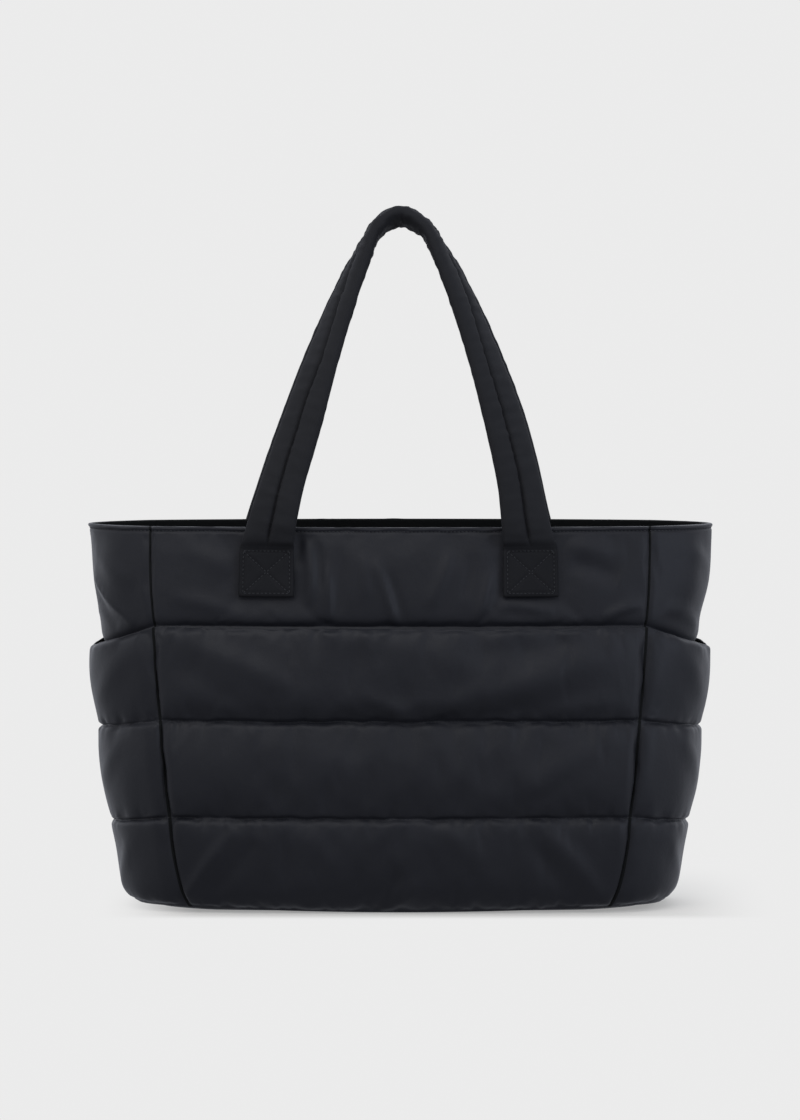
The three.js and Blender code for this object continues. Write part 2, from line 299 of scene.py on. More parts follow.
class Panel:
    """A padded panel: its object and, for each vertex of the outer sheet, where it lies on the wall."""

    def __init__(self, name, wall, columns, bands, outer):
        """bands are rows of (lower line, its dip in the middle, steps); the last row is only a line."""
        self.wall = wall
        steps = [band[2] for band in bands[:-1]]
        count = sum(steps)
        bm = bmesh.new()
        bmesh.ops.create_grid(bm, x_segments=columns, y_segments=count, size=1.0)
        spots = np.array([v.co[:2] for v in bm.verts])
        self.across = crowd((spots[:, 0] + 1) / 2, COLUMN_CROWD) * 2 - 1
        self.row = np.rint((spots[:, 1] + 1) / 2 * count).astype(int)
        self.line_rows = np.concatenate([[0], np.cumsum(steps)])
        self.band = np.clip(np.searchsorted(self.line_rows, self.row) - 1, 0, len(steps) - 1)
        self.share = crowd((self.row - self.line_rows[self.band]) / np.array(steps)[self.band], ROW_CROWD)
        lines = np.array([band[0] for band in bands], float)
        dips = np.array([band[1] for band in bands], float)
        rise = np.diff(lines)[self.band]
        dip = dips[self.band] + np.diff(dips)[self.band] * self.share
        self.height = lines[self.band] + rise * self.share - dip * (1 - self.across ** 2)
        self.from_line = np.minimum(self.share, 1 - self.share) * rise
        self.on_line = np.isin(self.row, self.line_rows)
        self.on_edge = (np.abs(self.across) > 1 - 1e-6) | (self.row == 0) | (self.row == count)
        on_wall, off_wall = (skin(wall, self.height, self.across, away) for away in (0, 1))
        self.outside = unit(off_wall - on_wall)
        corner = skin(wall, self.height, np.where(self.across < 0, -1, 1), 0)
        reach = np.linalg.norm(corner - skin(wall, self.height, 0, 0), axis=1)
        self.flat = np.stack([self.across * reach, self.height * MM], -1)
        self.from_corner = (1 - np.abs(self.across)) * reach / MM
        for vert, spot in zip(bm.verts, skin(wall, self.height, self.across, outer(self))):
            vert.co = spot
        self.piece = keep(name, bm)

    def points(self):
        spots = np.empty(len(self.piece.data.vertices) * 3)
        self.piece.data.vertices.foreach_get("co", spots)
        return spots.reshape(-1, 3)

    def move(self, spots):
        self.piece.data.vertices.foreach_set("co", np.ascontiguousarray(spots).ravel())
        self.piece.data.update()

    def push(self, amount):
        """Moves each point of the outer sheet outwards by its own amount, in millimetres."""
        self.move(self.points() + self.outside * (np.asarray(amount) * MM)[:, None])

    def close(self, inner, slot):
        """Adds the inner sheet (lining) and the edge; the ends up to the slot and the foot get lining colour
        as painted shade.
        """
        inside = skin(self.wall, self.height, self.across, inner(self))
        thick = np.sum((self.points() - inside) * self.outside, axis=1) / MM
        self.push(np.clip(THINNEST - thick, 0, None))
        self.sheet = self.points()
        bm = bmesh.new()
        bm.from_mesh(self.piece.data)
        back_with(bm, inside)
        name, old = self.piece.name, self.piece.data
        bpy.data.objects.remove(self.piece)
        bpy.data.meshes.remove(old)
        self.piece = keep(name, bm)
        dress(self.piece, np.concatenate([self.flat, self.flat]), SHELL, LINING_AND_SHADE)
        # painted shade: the ends near a corner seam and the foot's edge take the darker lining colour
        plain = np.concatenate([(self.from_corner < slot) | (self.row == 0), np.ones(len(self.flat), bool)])
        for face in self.piece.data.polygons:
            face.material_index = int(plain[list(face.vertices)].all())

    def seam(self, line):
        """The points of the outer sheet along a sewn line and the directions out of it, from end to end."""
        on = np.flatnonzero(self.row == self.line_rows[line])
        on = on[np.argsort(self.across[on])]
        return self.sheet[on], self.outside[on]


def back_with(bm, spots):
    """Adds a copy of a sheet at the spots, facing the other way, and closes the edge between the two."""
    copied = bmesh.ops.duplicate(bm, geom=bm.verts[:] + bm.edges[:] + bm.faces[:])["geom"]
    for vert, spot in zip([part for part in copied if isinstance(part, bmesh.types.BMVert)], spots):
        vert.co = spot
    bmesh.ops.reverse_faces(bm, faces=[part for part in copied if isinstance(part, bmesh.types.BMFace)])
    bmesh.ops.bridge_loops(bm, edges=[e for e in bm.edges if e.is_boundary])


def dress(piece, flat, *finishes):
    """Gives a piece its finishes and its UV map: each vertex's place on the flat cloth, in metres."""
    mesh = piece.data
    corners = np.empty(len(mesh.loops), int)
    mesh.loops.foreach_get("vertex_index", corners)
    mesh.uv_layers.new(name="cloth").data.foreach_set("uv", np.ascontiguousarray(flat[corners]).ravel())
    for finish in finishes:
        mesh.materials.append(finish)


def keep(name, bm):
    """Turns a bmesh into an object of the scene with smooth faces."""
    for face in bm.faces:
        face.smooth = True
    mesh = bpy.data.meshes.new(name)
    bm.to_mesh(mesh)
    bm.free()
    piece = bpy.data.objects.new(name, mesh)
    scene.collection.objects.link(piece)
    print(name, len(mesh.vertices), "vertices,", len(mesh.polygons), "faces")
    return piece


# %% [markdown]
# ## The quilted pockets and back
# The front has a slip pocket across its whole width, quilted into three rows, and each side has a pocket
# of its own with the same rows, whose lines dip in the middle. Their top edges are open and stand off the
# wall a little, and their ends are sewn into the corner seams. The back is one wall with the same
# quilting and a plain band above.

# %% Quilted panels
QUILT_LINES = [(0.6, 0), (75, 7.5), (150, 8.5), (222, 17.5)]  # height, and dip in the middle of a side
CORNER_LIFT, SIDE_LIFT = 4.0, 6.0  # how far the lowest line rises at a corner and under a side pocket
CORNER_FOOT = QUILT_LINES[0][0] + CORNER_LIFT
QUILT_ROWS = len(QUILT_LINES) - 1
QUILT_SEAM, SIDE_SEAM = 3.0, 4.0
CORNER_SEAM, CORNER_SLOT, CORNER_ROUND = 0.5, 1.1, 8.0
WALL = 4.0
FRONT_PUFF, SIDE_PUFF = 8.0, 7.0
FRONT_LEAN, SIDE_LEAN, LOW_LEAN = 0.85, 1.1, 4.0  # above 1, a row swells most in its upper half
LOW_CROWN, LOW_ROUND = 0.45, 0.16  # the lowest row's share of the puff, and of its height that turns under
MOUTH_LIP = 0.10  # how far a mouth's edge turns in
FRONT_MOUTH = dict(gap=5.5, rise=0.22, bulge=0.45, lean=0.6)
SIDE_MOUTH = dict(gap=7.0, rise=0.85, bulge=0.35, lean=1.0)
HEM_FOOT, HEM_ROLL, HEM_SINK, SHOULDER = RIM - 3.4, 0.45, 0.8, 0.9
CORNER_SINK, CORNER_WIDTH = 2.0, 2.0
BACK_STEP, BACK_BULGE = 0.06, 2.0  # the back's plain band: how soon it steps in, and its swell
QUILT_STEPS, BAND_STEPS, HEM_STEPS = 28, 30, 8
FRONT_COLUMNS, SIDE_COLUMNS = 260, 110


def quilt_bands(is_side):
    """The sewn lines; the lowest rises a little towards the corners and more under a side."""
    foot = (CORNER_FOOT, CORNER_LIFT - SIDE_LIFT if is_side else CORNER_LIFT, QUILT_STEPS)
    return [foot] + [(height, dip if is_side else 0, QUILT_STEPS) for height, dip in QUILT_LINES[1:]]


def ends(panel):
    """0 beside a corner seam, in a slot as deep as the pad, rising round to 1."""
    return np.sqrt(1 - np.clip(1 - (panel.from_corner - CORNER_SLOT) / CORNER_ROUND, 0, 1) ** 2)


def quilt_thickness(panel, puff, seam):
    """The pad's first thickness: thin on sewn lines and ends, round between, flatter in the lowest row."""
    lowest = panel.band == 0
    lean = FRONT_LEAN if panel.wall in ("front", "back") else SIDE_LEAN
    up = panel.share ** np.where(lowest, LOW_LEAN, lean)
    crown = np.clip(4 * up * (1 - up), 0, 1) ** 0.9 * np.where(lowest, LOW_CROWN, 1.0)
    under = np.where(lowest, np.sqrt(1 - np.clip(1 - panel.share / LOW_ROUND, 0, 1) ** 2), 1.0)
    return CORNER_SEAM + (seam - CORNER_SEAM + (puff - seam) * crown) * ends(panel) * under


def stand_off(panel, gap):
    """How far a pocket stands off its wall: closed up to the upper sewn line, open above it."""
    opened = np.where(panel.band == QUILT_ROWS - 1, panel.share, 0)
    return SEAM_GAP + gap * opened * (1 - panel.across ** 4)


def pocket_relief(panel, puff, seam, gap, rise, bulge, lean):
    """A pocket's outer sheet; its open top row rises from the sewn line and runs up to the mouth."""
    swell = np.sin(np.pi / 2 * np.clip(panel.share / rise, 0, 1)) - MOUTH_LIP * panel.share ** 50
    stand = (gap + QUILT_SEAM - seam) * (1 - panel.across ** 4) * swell
    open_row = seam + stand + (puff - seam) * bulge * np.sin(np.pi * panel.share ** lean)
    mouth = CORNER_SEAM + (open_row - CORNER_SEAM) * ends(panel)
    return SEAM_GAP + np.where(panel.band == QUILT_ROWS - 1, mouth, quilt_thickness(panel, puff, seam))


def hem(panel, plain):
    """A plain band's relief: sunk corner seams and, in its last rows, a rolled hem with a round top."""
    roll = HEM_ROLL * np.sqrt(np.clip(1 - (2 * panel.share - 1) ** 2, 0, 1)) - SHOULDER * panel.share ** 8
    in_hem = panel.band == panel.band.max()
    sewn = HEM_SINK * np.exp(-(panel.height - HEM_FOOT) ** 2)
    corner = CORNER_SINK * np.exp(-(panel.from_corner / CORNER_WIDTH) ** 2)
    return np.where(in_hem, roll, plain) - sewn - corner


def lining(panel):
    """The inner sheet's distance from the wall: its full thickness, rounded over at the hem."""
    in_hem = panel.band == panel.band.max()
    return np.where(in_hem, -WALL + SHOULDER * panel.share ** 8, -WALL)


def back_relief(panel):
    quilted = panel.band < QUILT_ROWS
    above = np.clip(1 - panel.share / BACK_STEP, 0, 1) * (SEAM_GAP + QUILT_SEAM)
    bulge = BACK_BULGE * np.sin(np.pi * panel.share)
    pads = SEAM_GAP + quilt_thickness(panel, FRONT_PUFF, QUILT_SEAM)
    return np.where(quilted, pads, hem(panel, above + bulge))


plain_rows = [(HEM_FOOT, 0, HEM_STEPS), (RIM, 0, 0)]
front_pocket = Panel("front_pocket_quilting", "front", FRONT_COLUMNS, quilt_bands(False),
                     lambda p: pocket_relief(p, FRONT_PUFF, QUILT_SEAM, **FRONT_MOUTH))
side_pockets = {
    side: Panel(f"side_pocket_{side}_quilting", side, SIDE_COLUMNS, quilt_bands(True),
                lambda p: pocket_relief(p, SIDE_PUFF, SIDE_SEAM, **SIDE_MOUTH))
    for side in ("right", "left")}
back_bands = quilt_bands(False)[:-1] + [(QUILT_LINES[-1][0], 0, BAND_STEPS)]
back_panel = Panel("back_panel_quilting", "back", FRONT_COLUMNS, back_bands + plain_rows, back_relief)

# %% [markdown]
# ## The plain walls
# Behind the pockets the front and the sides are plain padded walls. Only the band above the pockets
# shows: soft, with a rolled and topstitched hem, and seams that sink at the corners. Rows that the
# pockets hide are few.

# %% Plain walls
HIDDEN_LINE, HIDDEN_STEPS = 20.0, (6, 8)  # a line near the foot, and the rows below and above it
TAB_FROM_MIDDLE = 102.0
TAB_FOOT, TAB_HEAD, TAB_HALF = 249.0, 281.5, 18.0
PRESSED_HALF_WIDTH, PRESSED_HALF_HEIGHT, PRESSED_FADE, PRESSED_IN = 23, 21, 20, 0.3
BAND_BULGE, MOUTH_TUCK = 2.2, 4.5  # the band's swell, and how far above a mouth it starts


def under_tab(panel):
    """1 where a strap's sewn tab presses on the wall, falling to 0 around it; the sides have none."""
    if panel.wall not in ("front", "back"):
        return np.zeros(len(panel.height))
    beside = np.abs(np.abs(panel.flat[:, 0] / MM) - TAB_FROM_MIDDLE) - PRESSED_HALF_WIDTH
    above = np.abs(panel.height - (TAB_FOOT + TAB_HEAD) / 2) - PRESSED_HALF_HEIGHT
    return np.clip(1 - np.maximum(beside, above) / PRESSED_FADE, 0, 1) ** 1.5


def plain_relief(panel):
    band = panel.band == panel.band.max() - 1
    above_mouth = panel.share * (HEM_FOOT - QUILT_LINES[-1][0])
    tucked = BAND_BULGE * np.exp(-(above_mouth / MOUTH_TUCK) ** 2)
    bulge = BAND_BULGE * np.sin(np.pi * panel.share ** 0.75) - tucked
    tabs = under_tab(panel)
    return hem(panel, np.where(band, bulge * (1 - tabs) - PRESSED_IN * tabs, 0))


def plain_wall(name, wall, columns, dipped):
    """A wall behind a pocket; dipped is 1 where its lines dip in the middle, as on a side, and else 0."""
    below, above = HIDDEN_STEPS
    mouth, mouth_dip = QUILT_LINES[-1]
    bands = [(CORNER_FOOT, CORNER_LIFT * (1 - dipped), below), (HIDDEN_LINE, 2 * dipped, above),
             (mouth, mouth_dip * dipped, BAND_STEPS)]
    return Panel(name, wall, columns, bands + plain_rows, plain_relief)


front_panel = plain_wall("front_panel_padding", "front", FRONT_COLUMNS, 0)
side_panels = {
    side: plain_wall(f"side_panel_{side}_padding", side, SIDE_COLUMNS, 1)
    for side in ("right", "left")}

# %% [markdown]
# ## Blowing up the cloth
# A quilted row is a tube of cloth with wadding in it. The honest way to make one is to hold the sewn
# lines and let a cloth simulation push the sheet outwards. The cloth is also let out by under a percent,
# because more cloth than seam is what wrinkles real padding. A little uneven noise at the start keeps the
# wrinkles from being regular. All the panels settle together, which is quicker, and a cap keeps every
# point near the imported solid.

# %% The inflation
FRAMES = 16
ROUGHNESS = 0.0004  # metres
ROUGH_SIZE = 0.022
QUILT_CLOTH, PLAIN_CLOTH = (1.0, 0.004), (0.3, 0.002)  # pressure, and the share let out
CLOTH = dict(quality=4, mass=0.2, air_damping=4.0, tension_stiffness=12.0, compression_stiffness=12.0,
             shear_stiffness=6.0, bending_stiffness=1.0, use_pressure=True, use_pressure_volume=True,
             target_volume=0.0)
FURTHEST = 0.006  # metres
HIDDEN_BELOW, TAB_HOLDS_ABOVE = 199, 224  # heights, in millimetres
noise.seed_set(7)  # without a seed the vector noise starts from the clock


def rough(spots, free):
    """Points moved a little at random, so that wrinkles choose irregular places."""
    moved = spots.copy()
    for i in np.flatnonzero(free):
        moved[i] += np.array(noise.noise_vector(Vector(spots[i]) / ROUGH_SIZE)) * ROUGHNESS
    return moved


def let_out(panel, held, pressure, fullness):
    """Gives a panel its cloth: some points held, the rest let out by a share and blown up."""
    piece = panel.piece
    panel.start = rough(panel.points(), ~held)
    panel.move(panel.start)
    pins = piece.vertex_groups.new(name="pins")
    pins.add([int(i) for i in np.flatnonzero(held)], 1.0, "REPLACE")
    cloth = piece.modifiers.new("cloth", "CLOTH")
    cloth.point_cache.frame_start, cloth.point_cache.frame_end = 1, FRAMES
    cloth.collision_settings.use_collision = False
    cloth.collision_settings.use_self_collision = False
    cloth.settings.effector_weights.gravity = 0.0
    given = dict(vertex_group_mass=pins.name, uniform_pressure_force=pressure, shrink_min=-fullness)
    for key, value in (CLOTH | given).items():
        setattr(cloth.settings, key, value)


def settle(panels, cap):
    """Steps the cloth of all panels at once and keeps its shape; no point moves further than the cap."""
    for number in range(1, FRAMES + 1):
        scene.frame_set(number)
    graph = bpy.context.evaluated_depsgraph_get()
    for panel in panels:
        spots = np.empty(panel.start.size)
        panel.piece.evaluated_get(graph).data.vertices.foreach_get("co", spots)
        panel.settled = spots.reshape(-1, 3)
    for panel in panels:
        panel.piece.modifiers.clear()
        panel.piece.vertex_groups.clear()
        moved = panel.settled - panel.start
        far = np.linalg.norm(moved, axis=1)
        panel.move(panel.start + moved * np.minimum(1, cap / np.maximum(far, 1e-9))[:, None])
        mean, most = (round(value / MM, 2) for value in (far.mean(), far.max()))
        print(panel.piece.name, "swelled by", mean, "mm, at most", most)
    scene.frame_set(1)


def held_in_place(panel):
    """The points that thread holds: sewn lines, edges, what the pockets hide and what the tabs hold."""
    hidden = panel.height < HIDDEN_BELOW if panel in plain_walls else np.zeros(len(panel.height), bool)
    tabs = (under_tab(panel) > 0.8) & (panel.height > TAB_HOLDS_ABOVE)
    return panel.on_line | panel.on_edge | hidden | tabs


plain_walls = [front_panel, *side_panels.values()]
quilted = [front_pocket, *side_pockets.values(), back_panel]
for panel in quilted + plain_walls:
    let_out(panel, held_in_place(panel), *(QUILT_CLOTH if panel in quilted else PLAIN_CLOTH))
settle(quilted + plain_walls, FURTHEST)

# %% [markdown]
# ## Puckers and folds
# Thread draws the cloth in, so each sewn line sinks, wanders a little, and gathers the cloth beside it
# into ripples. A larger fold is a soft ridge that bends a little on its way and fades at both ends. A
# bump in the material would be quicker, but these are the bag's shape, so they move the points of the
# outer sheet.

# %% Puckers and folds
GROOVE_ABOVE, GROOVE_BELOW = 1.5, 2.4  # how wide a sewn line sinks, to each side
DENT, SWELL = 1.7, 0.6  # cloth beside a line draws in further than it swells
RIPPLE_START, WANDER_REACH = 3.0, 4.0
FOLD_BEND, FOLD_FADE = 0.12, 0.7


def noise_at(across, along, row):
    """Smooth noise at many places of one row."""
    return np.array([noise.noise((float(a), float(b), row)) for a, b in zip(across, along)])


def gather(panel, sink, height, reach, pitch, seed):
    """Sinks the sewn lines and gathers ripples beside them, fading over their reach (millimetres)."""
    places = panel.flat[:, 0] / MM / pitch
    # each side of a line has its own row of noise
    side = np.where(panel.share < 0.5, 3.1, 7.7) + panel.band * 5.3 + seed
    waves = noise_at(places, side, 0.5)
    waves = waves * np.where(waves < 0, DENT, SWELL)
    away = panel.from_line
    ripples = height * waves * np.exp(-away / reach) * np.clip(away / RIPPLE_START, 0, 1)
    groove = np.where(panel.share > 0.5, GROOVE_BELOW, GROOVE_ABOVE)
    panel.push(ripples - sink * np.exp(-(away / groove) ** 2))


def wander(panel, height, pitch, seed):
    """Lets the quilting lines and the mouth wander up and down a little, as sewing on padding does."""
    line = panel.band + (panel.share >= 0.5)
    places = panel.flat[:, 0] / MM / pitch
    waves = noise_at(places, 3.7 * line + seed, 2.5)
    sewn = (line > 0) & (line <= QUILT_ROWS)
    spots = panel.points()
    shift = height * MM * waves * sewn * np.exp(-(panel.from_line / WANDER_REACH) ** 2)
    spots[:, 2] += shift * (1 - panel.across ** 8)
    panel.move(spots)


def fold(panel, folds):
    """Adds folds to a panel, each from one end to the other with its width and height."""
    spots = np.stack([panel.flat[:, 0] / MM, panel.height], -1)
    total = np.zeros(len(spots))
    for x1, z1, x2, z2, width, height in folds:
        start, along = np.array([x1, z1]), np.array([x2 - x1, z2 - z1])
        length = np.linalg.norm(along)
        share = (spots - start) @ along / length ** 2
        bend = FOLD_BEND * length * np.clip(share, 0, 1) * (1 - np.clip(share, 0, 1))
        aside = ((spots - start) @ np.array([-along[1], along[0]])) / length - bend
        fade = np.clip(1 - (2 * share - 1) ** 2, 0, 1) ** FOLD_FADE
        total += height * fade * np.exp(-(aside / width) ** 2)
    panel.push(np.where(panel.on_edge, 0, total))


# %% [markdown]
# ## Where the folds lie
# The folds are where the photograph shows them, and the hidden back has a few of its own. Each is a row
# of a table: from one end to the other, across and up its wall, with its width and its height, in
# millimetres. A fold with a negative height is a crease.

# %% Fold tables
FRONT_POCKET_FOLDS = [
    (180, 212, -10, 154, 11, 3.1), (168, 180, 20, 151, 8, -2), (150, 218, 40, 200, 9, -1.4),
    (-186, 218, -60, 164, 10, 2.2), (-176, 194, -110, 156, 8, -1.4), (-60, 220, 60, 190, 12, 1.7),
    (-40, 174, 10, 152, 6, 1.7), (170, 144, 70, 86, 12, 2.2), (150, 124, 90, 82, 8, -1.3),
    (-130, 146, -20, 100, 14, 1.4), (-168, 6, -126, 68, 5, 3.4), (-150, 4, -110, 59, 7, -2),
    (-14, 3, 0, 36, 5, -2.5), (4, 4, 14, 30, 5, 1.7), (112, 65, 160, 4, 8, 2.5),
    (96, 61, 138, 4, 7, -1.7), (30, 72, 74, 19, 9, 1.7), (-80, 70, -40, 23, 10, 1.3),
]
FRONT_BAND_FOLDS = [
    (-78, 297, -81, 268, 3.5, -2.2), (-72, 290, -69, 240, 3.0, 2.7), (-64, 288, -61, 250, 3.0, -1.8),
    (-58, 272, -55, 226, 2.6, 2.5), (-46, 284, -48, 232, 5.0, -1.8), (-30, 280, -26, 244, 4.0, 1.4),
    (-20, 274, -4, 223, 3.2, 2.7), (-10, 266, 4, 223, 3.2, -1.8), (40, 282, 22, 238, 5.0, 2),
    (56, 280, 48, 244, 5.0, -1.4), (70, 266, 58, 226, 4.0, 2.5), (74, 240, 120, 235, 4.5, 2.5),
    (132, 272, 170, 259, 6.0, -2.5), (128, 286, 176, 276, 6.0, 1.4), (156, 229, 188, 241, 4.0, 2.7),
    (-180, 246, -120, 231, 6.0, 1.6), (-170, 284, -130, 266, 8.0, 1.4),
]
LEFT_BAND_FOLDS = [
    (14, 262, 58, 223, 3.6, 2.9), (8, 250, 44, 220, 4.0, -1.7), (20, 280, 62, 254, 6.0, 1.4),
    (-50, 230, -10, 266, 6.0, 1.7), (4, 300, 8, 232, 26, -2.6), (46, 303, 44, 228, 15, 2.4),
]
RIGHT_BAND_FOLDS = [(-60, 238, -20, 218, 4.5, 2.1), (40, 230, 6, 266, 6.0, 1.8),
                    (-52, 284, -14, 262, 6.0, 1.2), (-46, 303, -44, 228, 15, 3.2)]
SIDE_POCKET_FOLDS = [(-60, 144, -22, 96, 7, 1.2), (-58, 212, -28, 162, 8, 1.2), (-56, 63, -26, 15, 7, 1.2),
                     (58, 140, 20, 92, 7, 1.2), (60, 210, 24, 154, 8, 1.2), (56, 61, 22, 11, 7, 1.2)]
BACK_FOLDS = [(170, 210, 10, 156, 11, 1.8), (-178, 214, -60, 162, 10, 1.6), (-160, 138, -50, 88, 12, 1.4),
              (60, 140, 150, 94, 12, 1.2), (-100, 63, -150, 6, 8, 1.8), (20, 65, 80, 13, 9, 1.4),
              (60, 288, 66, 236, 4, 1.2), (-20, 280, -34, 230, 5, 1.2), (-60, 266, -54, 226, 4, 1.2)]
folded = [(front_pocket, FRONT_POCKET_FOLDS), (front_panel, FRONT_BAND_FOLDS),
          (side_panels["left"], LEFT_BAND_FOLDS), (side_panels["right"], RIGHT_BAND_FOLDS),
          (back_panel, BACK_FOLDS), *((pocket, SIDE_POCKET_FOLDS) for pocket in side_pockets.values())]
for panel, folds in folded:
    fold(panel, folds)
print(sum(len(folds) for _, folds in folded), "folds")

# %% [markdown]
# ## Sewing and closing the pads
# Now the sewn lines are gathered, with short ripples and longer ones, and each outer sheet gets its inner
# sheet. The pockets stand off their walls at the mouth. The walls' inner sheets are the bag's lining, whose
# darker colour is also painted shade in the slots at the corner seams and along the foot.

# %% Closed pads
SHORT_RIPPLES = dict(sink=2.4, height=2.8, reach=4.0, pitch=6.5)
LONG_RIPPLES = dict(sink=0.0, height=2.2, reach=9.0, pitch=17.0)
LINE_WANDER = dict(height=0.9, pitch=11.0)
# how close to a corner seam a wall's outer cloth takes the darker lining colour, as painted shade
WALL_SHADE_SLOT = 0.9
for number, panel in enumerate(quilted):
    gather(panel, seed=11.0 * number, **SHORT_RIPPLES)
    gather(panel, seed=11.0 * number + 50, **LONG_RIPPLES)
    wander(panel, seed=11.0 * number + 90, **LINE_WANDER)
front_pocket.close(lambda p: stand_off(p, FRONT_MOUTH["gap"]), CORNER_SLOT)
for pocket in side_pockets.values():
    pocket.close(lambda p: stand_off(p, SIDE_MOUTH["gap"]), CORNER_SLOT)
for panel in (back_panel, *plain_walls):
    panel.close(lining, WALL_SHADE_SLOT)

# %% [markdown]
# ## The base
# A flat padded panel fills the foot of the walls and carries the bag. It is a grid too, drawn out so that
# its square edge follows the walls' own outline, with a lower sheet that turns up a little at the edge.

# %% Base
BASE_THICKNESS = 4.5
BASE_STEPS = 44
EDGE_TURN, END_TURN = 1.6, 2.4  # how far the lower sheet turns up at its edge, and how much more at the ends


def base_panel():
    bm = bmesh.new()
    bmesh.ops.create_grid(bm, x_segments=BASE_STEPS, y_segments=BASE_STEPS, size=1.0)
    u, v = np.array([vert.co[:2] for vert in bm.verts]).T
    out = np.maximum(np.maximum(np.abs(u), np.abs(v)), 1e-9)
    spots = np.zeros((len(u), 3))
    inset = -WALL - SEAM_GAP
    for wall, here, across in [("front", -v, u), ("back", v, -u), ("right", u, v), ("left", -u, -v)]:
        on = here >= out - 1e-6
        edge = skin(wall, LEVEL_ROWS[0, 0], np.clip(across[on] / out[on], -1, 1), inset)
        spots[on] = edge * out[on][:, None]
    spots[:, 2] = (EDGE_TURN + END_TURN * u ** 4) * MM * out ** 16
    for vert, spot in zip(bm.verts, spots):
        vert.co = spot
    spots[:, 2] = BASE_THICKNESS * MM
    back_with(bm, spots)
    bmesh.ops.recalc_face_normals(bm, faces=bm.faces)
    flat = np.array([vert.co[:2] for vert in bm.verts])
    piece = keep("base_padding", bm)
    dress(piece, flat, BASE)
    return piece


base = base_panel()

# %% [markdown]
# ## The shoulder straps
# Each strap is a strip of cloth folded round a pad, with its long edges meeting in a seam down the middle
# of its face. At both ends it is pressed flat into a tab and sewn to the wall. So it is a flat grid
# again, wrapped round a path: the table gives the path's places, how far the face has turned outwards,
# and the strap's width and thickness. The two edges are merged at the seam, which sinks, and the ends are
# filled.

# %% Straps
STRAP_COLUMNS = ("height", "left", "right", "depth", "turn", "width", "thickness")
STRAP_ROWS = np.array([
    (246, 103.2, 101, 0, 0, 43, 5),
    (283.5, 102.8, 100.5, 0, 0, 42, 5),
    (291, 101.5, 99, 66, 3, 39.5, 7.5),
    (304, 98.4, 96.6, 67.5, 10, 38, 10.5),
    (334, 90.4, 91.8, 63.5, 23, 36.5, 13),
    (380, 75.8, 80.8, 55, 36, 37.5, 13),
    (426, 61.2, 66.6, 46, 52, 38, 13),
    (472, 44.5, 49.4, 37, 66, 38, 13),
    (507.5, 29.7, 33, 28, 80, 37, 12.5),
    (530, 17, 19, 22, 97, 36, 12),
    (539.2, 0, 0, 19, 107, 36, 12),
])
TAB_ROWS = 2
TAB_TOP = STRAP_ROWS[TAB_ROWS - 1, 0]
STRAP_AROUND, STRAP_STEP = 72, 1.6
SEAM_DRIFT = np.array([  # height, and how far inwards the seam has wandered on the left and right leg
    (294, 0, 0), (349, 0.5, 1.5), (392, 1, 3), (434, 6, 4.5), (479, 4, 1), (507, 2, 0), (540, 0, 0)])
BACK_SPREAD = 1.035
UPRIGHT_OVER, PADDED_OVER = 25, 12  # how far above its tab a strap leans freely, and is fully padded
TAB_SQUARE, STRAP_SOFTER = 4.5, 1.9  # how square a tab's section is, and how much less so the strap's
OUTLINE_POINTS, AROUND_CROWD = 721, 0.5
SEAM_DEPTH, SEAM_WIDTH = 4.4, 1.2
PINCH_DEPTH, PINCH_WIDTH, END_ROUND = 1.5, 2.2, 1.5
PEAK_REACH = 60
STITCH_DEPTH, STITCH_SPREAD = 0.9, 1.1


def distances(points):
    """How far along a line each of its points is."""
    return np.concatenate([[0], np.cumsum(np.linalg.norm(np.diff(points, axis=0), axis=1))])


